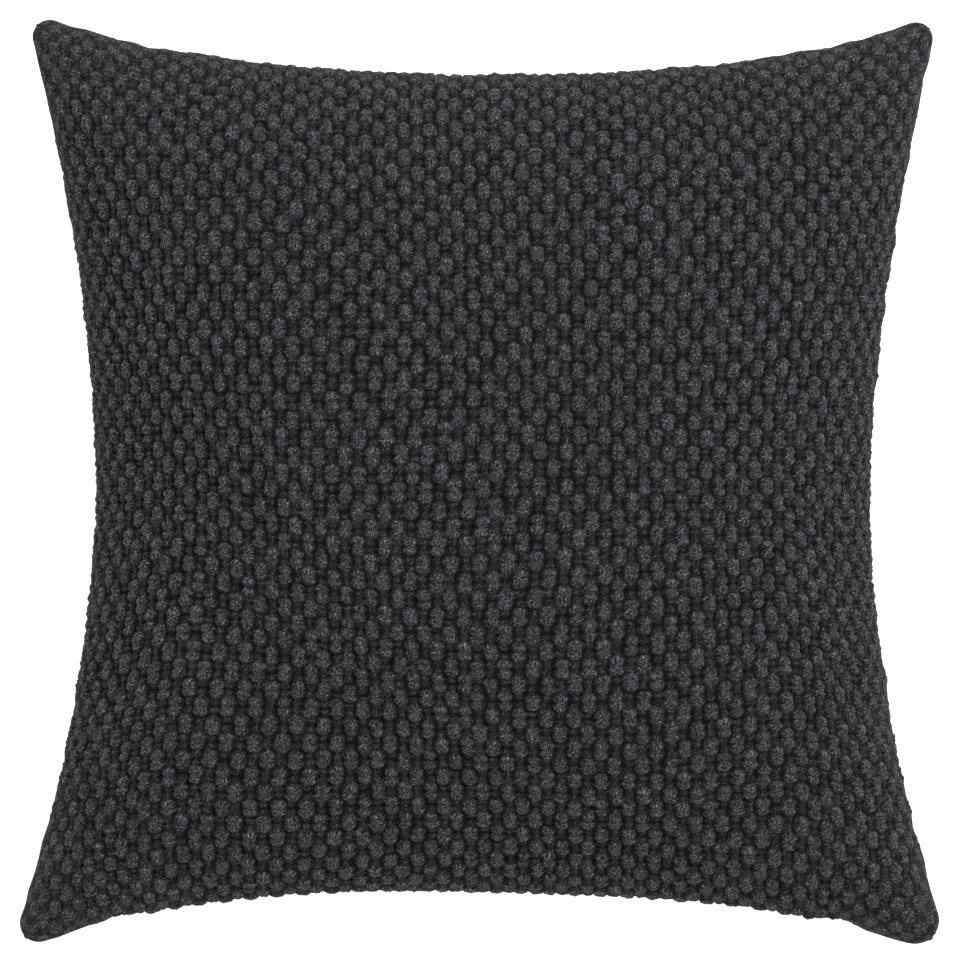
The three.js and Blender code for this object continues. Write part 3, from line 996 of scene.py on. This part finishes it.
def charcoal_weave():
    """Soft spun yarn, heathered with paler fibres, with painted shade that goes almost black down in the
    gaps.
    """
    n = Nodes("charcoal_weave", 0.95)
    place = n.attribute("nub_place", "Vector")
    spokes = n.spokes(place, around=4.5, outwards=5.0)
    strands = n.noise(1700, detail=2, roughness=0.6, stretch=(0.3, 1, 1), turn=0.9)
    streaks = n.math("MAXIMUM", spokes, strands)
    mottle = n.noise(1300, detail=2, roughness=0.7)
    fibre = n.math("ADD", n.math("MULTIPLY", streaks, 0.65), n.math("MULTIPLY", mottle, 0.35))
    yarn = n.ramp(fibre, [
        (0.45, (0.006, 0.0059, 0.0072)),
        (0.53, (0.050, 0.0488, 0.0562)),
        (0.58, (0.150, 0.146, 0.166)),
        (0.66, (0.40, 0.392, 0.42)),
    ])
    # Painted shade: the colour darkens with the nub_height map, almost black down in the gaps and creases
    # where shade falls.
    depth = n.ramp(n.attribute("nub_height"), [
        (0.08, grey(0.12)),
        (0.32, grey(0.38)),
        (0.50, grey(0.57)),
        (0.66, grey(0.92)),
        (1.00, grey(1.02)),
    ])
    tint = n.ramp(n.noise(520, detail=2, roughness=0.6), [
        (0.35, (1.04, 1.00, 0.91)),
        (0.50, (1.00, 1.00, 1.01)),
        (0.65, (0.97, 0.99, 1.12)),
    ])
    n.join(n.multiply(n.multiply(yarn, depth), tint), n.shader.inputs["Base Color"])
    n.bump(fibre, 1.2 * MM)
    n.shader.inputs["Sheen Weight"].default_value = 0.04
    n.shader.inputs["Sheen Roughness"].default_value = 0.6
    n.shader.inputs["Specular IOR Level"].default_value = 0.15
    return n.material


def plain_fabric(name, dark, light, scale, sheen=0.2):
    n = Nodes(name, 0.9)
    weave = n.noise(scale, detail=2, roughness=0.6)
    n.join(n.ramp(weave, [(0.3, dark), (0.7, light)]), n.shader.inputs["Base Color"])
    n.bump(weave, 0.2 * MM, 0.6)
    n.shader.inputs["Sheen Weight"].default_value = sheen
    return n.material


def metal(name, color, roughness):
    n = Nodes(name, roughness)
    wear = n.noise(900, detail=3, stretch=(0.15, 1, 1))
    light = tuple(min(1, c * 1.35) for c in color)
    n.join(n.ramp(wear, [(0.35, color), (0.7, light)]), n.shader.inputs["Base Color"])
    n.shader.inputs["Metallic"].default_value = 1
    n.bump(wear, 0.04 * MM, 0.5)
    return n.material


weave = charcoal_weave()
cotton = plain_fabric("white_cotton", (0.62, 0.61, 0.57), (0.85, 0.84, 0.8), 1500)
fibre_fill = plain_fabric("polyester_fibre", (0.7, 0.7, 0.68), (0.9, 0.9, 0.88), 300)
thread = plain_fabric("charcoal_thread", (0.012, 0.012, 0.013), (0.035, 0.035, 0.038), 2500)
tape = plain_fabric("zipper_tape", (0.01, 0.01, 0.011), (0.03, 0.03, 0.033), 1800)
white_thread = plain_fabric("white_thread", (0.7, 0.69, 0.66), (0.88, 0.87, 0.84), 2500)
satin = plain_fabric("label_satin", (0.66, 0.65, 0.61), (0.8, 0.79, 0.75), 1600, sheen=0.5)
nylon = plain_fabric("nylon_coil", (0.008, 0.008, 0.009), (0.02, 0.02, 0.022), 900)
steel = metal("dark_steel", (0.1, 0.1, 0.11), 0.32)


# ---- the two faces -----------------------------------------------------------------------------------
front_net, back_net = even_net(1), even_net(-1)
if FINE:
    front_net, back_net = inflate(front_net, back_net)
front_net = fit_height(front_net)
back_net = settle(fit_height(back_net))


# ---- the pieces ----------------------------------------------------------------------------------------
def attach(piece, node):
    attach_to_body(piece, BODY)
    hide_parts(node)


def make_soft_pieces():
    """The cover's two woven panels, the insert's shell and its fibre."""
    cover_front = woven_panel("cover_front", front_net, 1, weave, SEEDS["cover_front"])
    cover_back = woven_panel("cover_back", back_net, -1, weave, SEEDS["cover_back"])
    insert_front = insert_panel("insert_front", front_net, 1, cotton)
    insert_back = insert_panel("insert_back", back_net, -1, cotton)
    lump = fibre_lump("insert_fibre", front_net, back_net, fibre_fill)
    for piece, node, slot, fill in (
        (cover_front, "cover_front_panel", "charcoal_weave", 0.8),
        (cover_back, "cover_back_panel", "charcoal_weave", 0.8),
        (insert_front, "insert_front_panel", "white_cotton", 0.8),
        (insert_back, "insert_back_panel", "white_cotton", 0.8),
        (lump, "insert_fill", "polyester_fibre", 0.7),
    ):
        attach(piece, node)


def make_zipper():
    for face in ("front", "back"):
        node = f"zipper_coil_{face}"
        attach(coil_teeth(f"coil_teeth_{face}", node, nylon), node)
    for face, side in (("front", 1), ("back", -1)):
        node = f"zipper_tape_{face}"
        attach(zipper_tape(f"tape_{face}", node, side, tape), node)


def make_labels():
    """The cover's care label in its left seam, and the insert's own in its right seam."""
    for name, node, side, reach, half_width, clear in (
        ("label_care", "care_label", -1, (9 * MM, 52 * MM), 13 * MM, 0.3 * MM),
        ("label_insert", "insert_label", 1, (19 * MM, 58 * MM), 17 * MM, 0.5 * MM),
    ):
        label = sewn_label(name, front_net, side, reach, half_width, LINING + clear, satin)
        attach(label, node)


def make_cover_stitches():
    for which, end, start, stop in (
        ("top", "top", -COVER_END, COVER_END),
        ("left", "left", -COVER_END, COVER_END),
        ("right", "right", -COVER_END, COVER_END),
        ("bottom", "bottom_left", -COVER_END, -ZIP_END),
        ("bottom", "bottom_right", ZIP_END, COVER_END),
    ):
        stitches = thread_object(f"stitches_{end}", [side_line(which, start, stop, COVER_SEAM)], thread)
        attach(stitches, f"seam_thread_{end}")


def make_insert_stitches():
    """The insert's seam, and the stitch along its bottom that closes it after filling."""
    seam = [
        side_line("bottom", -INSERT_BOTTOM_END, -OPENING_END, INSERT_SEAM),
        side_line("left", -INSERT_END, INSERT_END, INSERT_SEAM),
        side_line("top", -INSERT_END, INSERT_END, INSERT_SEAM),
        side_line("right", -INSERT_END, INSERT_END, INSERT_SEAM),
        side_line("bottom", OPENING_END, INSERT_BOTTOM_END, INSERT_SEAM),
    ]
    closing = [side_line("bottom", -CLOSING_END, CLOSING_END, INSERT_SEAM)]
    for name, node, lines in (
        ("insert_stitches", "insert_seam_thread", seam),
        ("insert_closing", "insert_closing_stitch", closing),
    ):
        attach(thread_object(name, lines, white_thread), node)


def finish_metal():
    """The slider, the pull and the stops keep their CAD shapes, with worn edges."""
    for part in frame["record"]["subparts"]:
        if part["material_slot"] == "dark_steel":
            node = frame["nodes"][part["node"]]
            node.data.materials.clear()
            node.data.materials.append(steel)
            rounding = node.modifiers.new("rounded_edges", "BEVEL")
            rounding.width = 0.14 * MM
            rounding.segments = 2
            rounding.limit_method = "ANGLE"
            rounding.angle_limit = math.radians(35)


# ---- camera, lights and floor --------------------------------------------------------------------------
def make_camera():
    """Straight down on to the front, with the pillow's top edge at the top of the picture."""
    height = 1.5
    view_width = 0.5232
    camera = bpy.data.objects.new("camera", bpy.data.cameras.new("camera"))
    camera.data.sensor_width = 36
    camera.data.lens = 36 * height / view_width
    camera.location = (0.5 * MM, 0.5 * MM, SEAM_Z + height)
    bpy.context.scene.collection.objects.link(camera)
    bpy.context.scene.camera = camera
    bpy.context.scene.view_settings.view_transform = "Standard"


def area_light(name, place, size, power):
    light = bpy.data.lights.new(name, "AREA")
    light.shape = "SQUARE"
    light.size = size
    light.energy = power
    lamp = bpy.data.objects.new(name, light)
    lamp.location = place
    aim = Vector((0, 0, SEAM_Z)) - Vector(place)
    lamp.rotation_euler = aim.to_track_quat("-Z", "Y").to_euler()
    bpy.context.scene.collection.objects.link(lamp)


def make_lights():
    world = bpy.data.worlds.new("studio")
    world.use_nodes = True
    world.node_tree.nodes["Background"].inputs["Color"].default_value = (1, 1, 1, 1)
    world.node_tree.nodes["Background"].inputs["Strength"].default_value = 0.32
    bpy.context.scene.world = world
    area_light("key", (0.9, 0.95, 2.1), 0.9, 24.0)
    area_light("fill", (-0.9, -0.5, 2.4), 1.6, 8)


def make_floor():
    """A white floor that glows, so that the pillow's shadow hardly shows on it."""
    reach = 40
    n = Nodes("floor", 0.9)
    grain = n.noise(3, detail=2)
    n.join(n.ramp(grain, [(0.3, grey(0.9)), (0.7, grey(0.93))]), n.shader.inputs["Base Color"])
    n.shader.inputs["Emission Color"].default_value = (1, 1, 1, 1)
    n.shader.inputs["Emission Strength"].default_value = 0.85
    corners = [(-reach, -reach, 0), (reach, -reach, 0), (reach, reach, 0), (-reach, reach, 0)]
    mesh = bpy.data.meshes.new("floor")
    mesh.from_pydata(corners, [], [(0, 1, 2, 3)])
    mesh.materials.append(n.material)
    floor = bpy.data.objects.new("floor", mesh)
    bpy.context.scene.collection.objects.link(floor)


make_soft_pieces()
make_zipper()
make_labels()
make_cover_stitches()
make_insert_stitches()
finish_metal()
make_camera()
make_lights()
make_floor()
